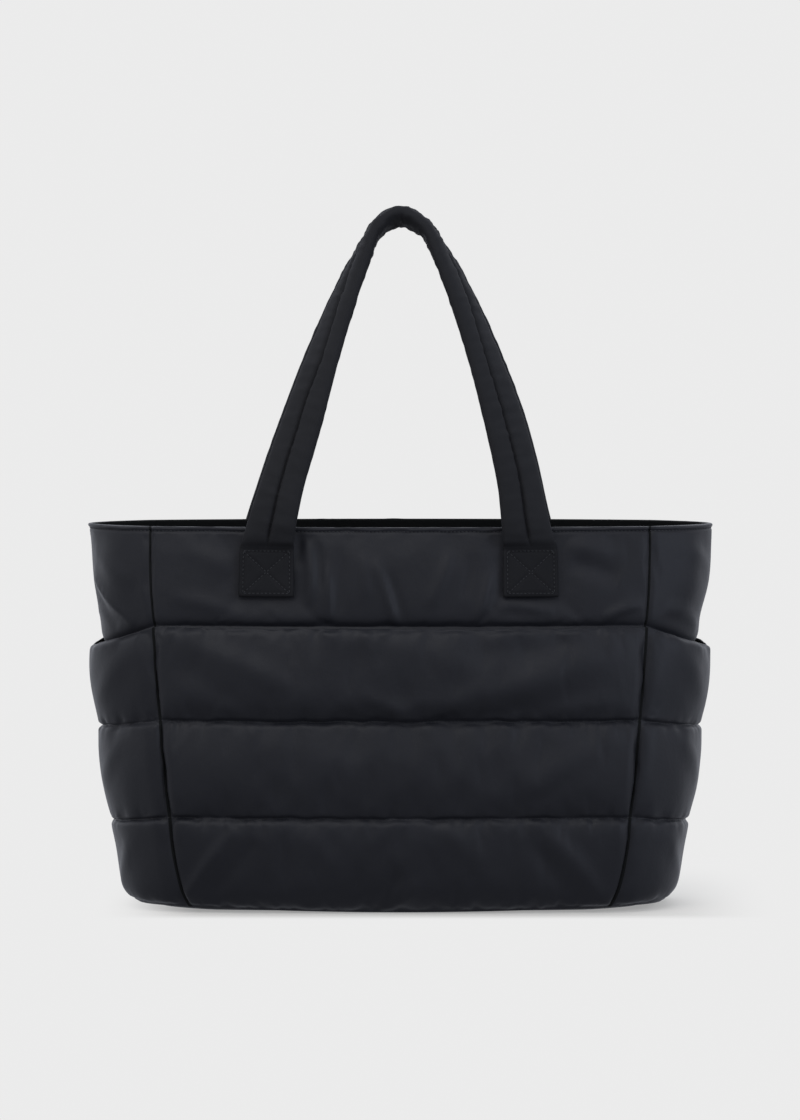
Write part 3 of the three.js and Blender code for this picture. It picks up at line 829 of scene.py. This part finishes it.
class Strap:
    """A padded strap: its object, and the frame that its rings follow."""

    def __init__(self, name, legs, spread, half_turn, seed):
        table = dict(zip(STRAP_COLUMNS, STRAP_ROWS.T))
        xs = np.concatenate([-table[legs[0]], table[legs[1]][-2::-1]]) * spread
        there_and_back = lambda column: np.concatenate([column, column[-2::-1]])
        heights = there_and_back(table["height"])
        sizes = level(np.minimum(heights, RIM))
        on_wall, facing = front_plan(sizes, xs / sizes["seam_x"])
        depth = there_and_back(table["depth"])
        tab = depth == 0
        depth = np.where(tab, SEAM_GAP + there_and_back(table["thickness"]) / 2 - on_wall[:, 1], depth)
        places = np.stack([xs, -depth, heights], -1)
        stops = distances(places)
        self.length = stops[-1]
        rings = int(self.length / STRAP_STEP)
        self.at = np.linspace(0, self.length, rings + 1)
        curve = lambda columns: np.stack([eased(stops, c, self.at) for c in columns.T], -1)
        self.centre = curve(places)
        upright = np.clip(1 - (self.centre[:, 2] - TAB_TOP) / UPRIGHT_OVER, 0, 1)[:, None]
        straight_up = np.where(self.at < self.length / 2, 1.0, -1.0)[:, None] * np.array([0, 0, 1.0])
        self.along = unit(unit(np.gradient(self.centre, axis=0)) * (1 - upright) + straight_up * upright)
        flat = curve(np.concatenate([facing, np.zeros((len(xs), 1))], -1))
        flat = unit(flat - self.along * np.sum(flat * self.along, -1, keepdims=True))
        form = np.stack([there_and_back(table[c]) for c in ("turn", "width", "thickness")], -1)
        turn, self.width, self.thickness = curve(form).T
        turn = np.radians(turn)[:, None]
        self.normal = flat * np.cos(turn) - np.cross(self.along, flat) * np.sin(turn)
        self.across = np.cross(self.along, self.normal)
        self.turned = np.array([-1.0, -1.0, 1.0] if half_turn else [1.0, 1.0, 1.0])
        drifts = [eased(SEAM_DRIFT[:, 0], SEAM_DRIFT[:, k], self.centre[:, 2]) for k in (1, 2)]
        self.drift = np.where(self.at < self.length / 2, *drifts)
        self.build(name, seed)

    def place(self, ring, aside, out):
        """Points in metres at distances (mm) across the strap and out of its face, ring by ring."""
        spots = self.centre[ring] + self.across[ring] * aside[:, None] + self.normal[ring] * out[:, None]
        return spots * self.turned * MM

    def build(self, name, seed):
        bm = bmesh.new()
        count = len(self.at) - 1
        bmesh.ops.create_grid(bm, x_segments=STRAP_AROUND, y_segments=count, size=1.0)
        around, v = np.array([vert.co[:2] for vert in bm.verts]).T
        ring = np.rint((v + 1) / 2 * count).astype(int)
        at, centre = self.at[ring], self.centre[ring]
        from_end = np.minimum(at, self.length - at)
        padded = np.clip((centre[:, 2] - TAB_TOP) / PADDED_OVER, 0, 1)
        column = np.rint((around + 1) / 2 * STRAP_AROUND).astype(int)
        wrapped = np.stack([self.section(k) for k in range(count + 1)])
        aside, out, flat = wrapped[ring, column].T
        out = out * np.sqrt(1 - np.clip(1 - (from_end + 0.05) / END_ROUND, 0, 1) ** 2)
        face = out > 0
        from_seam = np.abs(aside - self.drift[ring])
        seam = np.where(face, SEAM_DEPTH * padded * np.exp(-from_seam / SEAM_WIDTH), 0)
        pinch = PINCH_DEPTH * np.exp(-((centre[:, 2] - TAB_TOP) / PINCH_WIDTH) ** 2) * np.where(face, 1, 0)
        peak = np.exp(-((at - self.length / 2) / PEAK_REACH) ** 2)
        waves = noise_at(at / 7, aside / 30, seed)
        fine = noise_at(at / 4, aside / 14, seed + 5)
        broad = 0.9 * waves * (1 + 0.4 * peak)
        small = 0.8 * fine * (np.exp(-from_seam / 7) + 1.2 * peak)
        crease = padded * (broad + small)
        stitched = self.tab_groove(aside, centre[:, 2]) * np.where(face, 1, 0)
        out = out - seam - pinch - stitched + crease * out / self.thickness[ring] * 2
        for vert, spot in zip(bm.verts, self.place(ring, aside, out)):
            vert.co = spot
        self.piece = keep(name, bm)
        dress(self.piece, np.stack([flat, at], -1) * MM, STRAP, TAB)
        bm = bmesh.new()
        bm.from_mesh(self.piece.data)
        bmesh.ops.remove_doubles(bm, verts=bm.verts, dist=1e-6)
        bmesh.ops.holes_fill(bm, edges=[e for e in bm.edges if e.is_boundary], sides=0)
        bmesh.ops.recalc_face_normals(bm, faces=bm.faces)
        bm.to_mesh(self.piece.data)
        bm.free()
        for face in self.piece.data.polygons:
            face.material_index = int(face.center.z < TAB_TOP * MM)

    def section(self, ring):
        """One ring's outline from the seam round to the seam: across, out of the face, along the cloth."""
        padded = np.clip((self.centre[ring, 2] - TAB_TOP) / PADDED_OVER, 0, 1)
        power = 2 / (TAB_SQUARE - STRAP_SOFTER * padded)
        angle = np.linspace(-np.pi, np.pi, OUTLINE_POINTS)
        sine, cosine = np.sin(angle), -np.cos(angle)
        aside = np.sign(sine) * np.abs(sine) ** power * self.width[ring] / 2
        out = np.sign(cosine) * np.abs(cosine) ** power * self.thickness[ring] / 2
        run = np.concatenate([[0], np.cumsum(np.hypot(np.diff(aside), np.diff(out)))])
        at = crowd(np.linspace(0, 1, STRAP_AROUND + 1), AROUND_CROWD) * run[-1]
        place = (at - self.drift[ring]) % run[-1]
        return np.stack([np.interp(place, run, aside), np.interp(place, run, out), at], -1)

    def tab_groove(self, aside, height):
        """How far the box and the cross sewn on a tab sink into it."""
        middle, half = (TAB_FOOT + TAB_HEAD) / 2, (TAB_HEAD - TAB_FOOT) / 2
        up = (height - middle) / half
        over = aside / TAB_HALF
        box = np.abs(np.maximum(np.abs(up), np.abs(over)) - 1) * TAB_HALF
        cross = np.abs(np.abs(up) - np.abs(over)) * TAB_HALF * 0.7 + np.where(np.abs(up) > 1, 9, 0)
        sunk = STITCH_DEPTH * np.exp(-(np.minimum(box, cross) / STITCH_SPREAD) ** 2)
        return sunk * np.where(height < TAB_TOP + 1, 1, 0)


front_strap = Strap("handle_front_strap", ("left", "right"), 1.0, False, 2.0)
back_strap = Strap("handle_back_strap", ("right", "left"), BACK_SPREAD, True, 9.0)

# %% [markdown]
# ## Thread
# The topstitching shows along the rim, along the quilting and as a box with a cross on each tab. Every
# stitch is a small low ellipsoid on the cloth, turned along its row, and each row of sewing is one piece.

# %% Stitches
STITCH_PITCH, STITCH_LENGTH, STITCH_WIDTH = 3.0, 2.2, 0.75
STITCH_LIFT, QUILT_LIFT = 0.15, -0.25  # the quilting's thread lies deep in its seam
RIM_LIFT, RIM_WIDTH = 0.25, 0.9
TAB_SINK = 0.7  # how far the thread on a tab lies below its face


def stitch_places(spots, normals):
    """Frames along a line of points in metres: place, direction and the way out, a pitch apart."""
    run = distances(spots) / MM
    count = max(2, int(run[-1] / STITCH_PITCH))
    at = (np.arange(count) + 0.5) * run[-1] / count
    follow = lambda rows, where: np.stack([np.interp(where, run, c) for c in rows.T], -1)
    ahead, behind = follow(spots, at + 0.8), follow(spots, at - 0.8)
    return follow(spots, at), unit(ahead - behind), unit(follow(normals, at))


def sew(name, lines, lift=STITCH_LIFT, width=STITCH_WIDTH):
    """One piece of thread from several lines of points and outward directions."""
    one = bmesh.new()
    bmesh.ops.create_uvsphere(one, u_segments=6, v_segments=4, radius=1.0)
    sizes = (STITCH_LENGTH / 2 * MM, width / 2 * MM, width / 2 * MM)
    bmesh.ops.scale(one, vec=sizes, verts=one.verts)
    stitch = bpy.data.meshes.new("stitch")
    one.to_mesh(stitch)
    one.free()
    bm = bmesh.new()
    for spots, normals in lines:
        for spot, along, out in zip(*stitch_places(spots, normals)):
            turned = Matrix(np.stack([along, np.cross(out, along), out], -1).tolist()).to_4x4()
            copy = stitch.copy()
            copy.transform(Matrix.Translation(spot + out * lift * MM) @ turned)
            bm.from_mesh(copy)
            bpy.data.meshes.remove(copy)
    bpy.data.meshes.remove(stitch)
    flat = np.array([vert.co[:2] for vert in bm.verts])
    piece = keep(name, bm)
    dress(piece, flat, THREAD)
    return piece


def tab_lines(strap):
    """The box and the cross on both tabs, as lines on the strap's face."""
    left, right = -TAB_HALF, TAB_HALF
    corners = np.array([(left, TAB_FOOT), (right, TAB_FOOT), (right, TAB_HEAD), (left, TAB_HEAD)])
    pairs = [(0, 1), (1, 2), (2, 3), (3, 0), (0, 2), (1, 3)]
    along = np.linspace(0, 1, 20)[:, None]
    lines = []
    for rings in np.split(np.arange(len(strap.at)), [len(strap.at) // 2]):
        heights = strap.centre[rings, 2]
        order = np.argsort(heights)
        for a, b in pairs:
            aside, up = (corners[a] + (corners[b] - corners[a]) * along).T
            ring = rings[order][np.clip(np.searchsorted(heights[order], up), 0, len(order) - 1)]
            spots = strap.place(ring, aside, strap.thickness[ring] / 2 - TAB_SINK)
            spots[:, 2] += (up - strap.centre[ring, 2]) * MM
            lines.append((spots, strap.normal[ring] * strap.turned))
    return lines


side_lines = [pocket.seam(k) for pocket in side_pockets.values() for k in (1, 2)]
rim_lines = [panel.seam(-2) for panel in (front_panel, back_panel, *side_panels.values())]
threads = [
    sew("front_pocket_stitching", [front_pocket.seam(k) for k in (1, 2)], QUILT_LIFT),
    sew("side_pocket_stitching", side_lines, QUILT_LIFT),
    sew("back_quilt_stitching", [back_panel.seam(k) for k in (1, 2, 3)], QUILT_LIFT),
    sew("rim_stitching", rim_lines, RIM_LIFT, RIM_WIDTH),
    sew("handle_front_stitching", tab_lines(front_strap)),
    sew("handle_back_stitching", tab_lines(back_strap)),
]

# %% [markdown]
# ## What each piece stands for
# Every piece rides on the one body, and the imported solid it stands for is hidden. The table also lists
# each pad's material slot and how tightly it is filled, which nothing here reads.

# %% Pieces and solids
pads = [  # piece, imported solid, material slot, fill
    (front_pocket.piece, "front_pocket", "shell_nylon", 0.7),
    (side_pockets["right"].piece, "side_pocket_right", "shell_nylon", 0.7),
    (side_pockets["left"].piece, "side_pocket_left", "shell_nylon", 0.7),
    (back_panel.piece, "back_panel", "shell_nylon", 0.7),
    (front_panel.piece, "front_panel", "shell_nylon", 0.4),
    (side_panels["right"].piece, "side_panel_right", "shell_nylon", 0.4),
    (side_panels["left"].piece, "side_panel_left", "shell_nylon", 0.4),
    (base, "base_panel", "base_nylon", 0.3),
    (front_strap.piece, "handle_front", "strap_nylon", 0.8),
    (back_strap.piece, "handle_back", "strap_nylon", 0.8),
]
for piece, node, slot, fill in pads:
    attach(piece, "root")
    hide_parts(node)
for piece in threads:
    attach(piece, "root")
print(len(pads), "pads and", len(threads), "rows of thread")

# %% [markdown]
# ## Floor
# The bag stands on a pale floor that curves up into a backdrop all round: a profile of a few points, spun
# once round the middle. The floor glows a little, so that it is as even as in the photograph, and only
# the camera sees it. Near the bag it glows less and takes the studio's light instead, which the bag can
# shade.

# %% Floor
BACKDROP = 0.834  # the photograph's even pale grey, as light
FLOOR_SHADE = 0.60  # how pale the floor is to the studio's light, which the bag can shade
FLOOR_TINT = (1.06, 1.03, 0.945)  # evens out the studio's faint blue
FLOOR_LIGHT = 0.88  # the studio's light on the open floor
FLOOR_REACH, FLOOR_CURVE, BACKDROP_TOP = 5, 1.5, 6  # metres
SHADED_MIDDLE, SHADED_HALF = 0.03, (0.18, 0.27)  # where the floor can be shaded, across and its fade
SHADED_FRONT, SHADED_BACK = (-0.100, -0.070), (0.05, 0.25)  # and from front to back


def dish():
    """A round floor with a curved rise to a wall, spun from its profile."""
    bm = bmesh.new()
    turns = [math.radians(a) for a in range(0, 91, 10)]
    curve = [(FLOOR_REACH + FLOOR_CURVE * math.sin(a), FLOOR_CURVE - FLOOR_CURVE * math.cos(a))
             for a in turns]
    profile = [(0, 0)] + curve + [(FLOOR_REACH + FLOOR_CURVE, BACKDROP_TOP)]
    spots = [bm.verts.new((x, 0, z)) for x, z in profile]
    edges = [bm.edges.new(pair) for pair in zip(spots, spots[1:])]
    bmesh.ops.spin(bm, geom=spots + edges, cent=(0, 0, 0), axis=(0, 0, 1), angle=math.tau, steps=96,
                   use_merge=True)
    bmesh.ops.remove_doubles(bm, verts=bm.verts, dist=1e-5)
    bmesh.ops.recalc_face_normals(bm, faces=bm.faces)
    return keep("floor", bm)


floor = dish()
floor.visible_diffuse = floor.visible_glossy = floor.visible_shadow = False
pale = Finish(bpy.data.materials.new("pale_floor"))
x, y, _ = pale.parts(pale.node("ShaderNodeTexCoord", output=3))
beside = pale.ramp(pale.maths("ABSOLUTE", x - SHADED_MIDDLE), *SHADED_HALF, 1.0, 0.0)
near = beside * pale.ramp(y, *SHADED_FRONT) * pale.ramp(y, *SHADED_BACK, 1.0, 0.0)
grey = lambda value: [value, value, value, 1.0]
shaded = [FLOOR_SHADE * share for share in FLOOR_TINT] + [1.0]
pale.feed(pale.shader, {
    "Base Color": pale.blend(near, grey(0.0), shaded),
    "Emission Color": pale.blend(near, grey(BACKDROP), grey(BACKDROP - FLOOR_SHADE * FLOOR_LIGHT)),
    "Emission Strength": 1.0, "Roughness": 1.0, "Specular IOR Level": 0.0})
floor.data.materials.append(pale.owner)

# %% [markdown]
# ## Studio light
# Cloth this dark shows its form mostly by what it reflects. So the studio is a gradient: bright above and
# behind, dim in front and darker below. One large soft light hangs overhead in front, a weak one stands
# at the left, and a stronger, cooler one in front of the right side. The camera doesn't see them.

# %% Studio light
STUDIO_LEVEL, FROM_ABOVE, FROM_BEHIND, FROM_SIDES = 0.385, 0.15, 0.80, 0.14
FROM_BELOW = 0.58  # the share that is left below
LIGHTS_AIM = Vector((0, 0, 0.25))

studio = Finish(bpy.data.worlds.new("studio"), "Background")
scene.world = studio.owner
right, back, up = studio.parts(studio.node("ShaderNodeTexCoord"))
light = (STUDIO_LEVEL + studio.ramp(up, 0.0, 1.0) * FROM_ABOVE + studio.ramp(back, 0.0, 0.6) * FROM_BEHIND
         + studio.ramp(studio.maths("ABSOLUTE", right), 0.6, 1.0) * FROM_SIDES)
studio.feed(studio.shader, {"Strength": light * studio.ramp(up, -0.6, 0.2, FROM_BELOW, 1.0),
                            "Color": (0.94, 0.97, 1.06, 1)})

LIGHTS = [  # name, place, size across and up, power, colour
    ("overhead", (-0.25, -0.65, 1.0), 1.0, 0.7, 2.7, (1, 1, 1)),
    ("left", (-2.2, -0.2, 0.9), 1.2, 1.6, 1.9, (1, 1, 1)),
    ("right", (1.9, -1.5, 0.7), 1.2, 1.6, 9.5, (0.74, 0.82, 1)),
]
for name, spot, across, up_size, power, colour in LIGHTS:
    lamp = bpy.data.lights.new(name, "AREA")
    lamp.shape = "RECTANGLE"
    lamp.size, lamp.size_y, lamp.energy, lamp.color = across, up_size, power, colour
    lamp_object = bpy.data.objects.new(name, lamp)
    lamp_object.location = spot
    lamp_object.rotation_euler = (LIGHTS_AIM - Vector(spot)).to_track_quat("-Z", "Y").to_euler()
    lamp_object.visible_camera = False
    scene.collection.objects.link(lamp_object)
scene.view_settings.view_transform = "Standard"
print("lights", [row[0] for row in LIGHTS])
